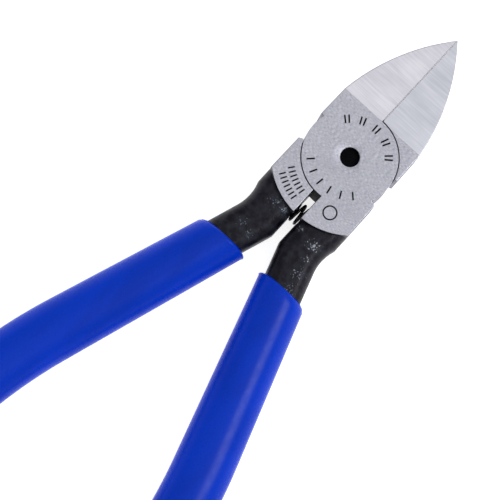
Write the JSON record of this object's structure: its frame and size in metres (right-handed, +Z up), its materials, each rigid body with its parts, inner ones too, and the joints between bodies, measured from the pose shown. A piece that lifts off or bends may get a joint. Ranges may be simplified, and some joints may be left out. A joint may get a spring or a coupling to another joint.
{
  "type": "flush cutter",
  "caption": "Small lap-jointed flush cutter with pointed flat-faced blades, a riveted pivot, a coil return spring and dipped plastic grips that splay from the joint.",
  "frame": {"origin": "on the pivot axis, in the ground underside of the joint", "axes": "+X along the cutting line to the tip, +Y towards the upper half's blade, +Z up through the flush face"},
  "size_m": [0.1565, 0.0666, 0.01],
  "materials": {
    "forged_steel": "ground bright on the faces, black oxide on the shanks",
    "rivet_steel": "ground flush, black in the dimple",
    "spring_steel": "dark drawn wire",
    "dipped_vinyl": "smooth blue dip with a soft gloss"
  },
  "bodies": {
    "upper": {"upper_half": "forged_steel", "pivot_rivet": "rivet_steel", "return_spring": "spring_steel", "upper_grip": "dipped_vinyl"},
    "lower": {"lower_half": "forged_steel", "lower_grip": "dipped_vinyl"}
  },
  "joints": [
    {"name": "pivot", "type": "hinge", "parent": "upper", "child": "lower", "pos_m": [0, 0, 0.005], "axis": [0, 0, -1], "range_deg": [0, 35.5], "stiffness_Nm_per_rad": 0.8, "springref_deg": 35.52, "deforming": ["return_spring"]}
  ]
}
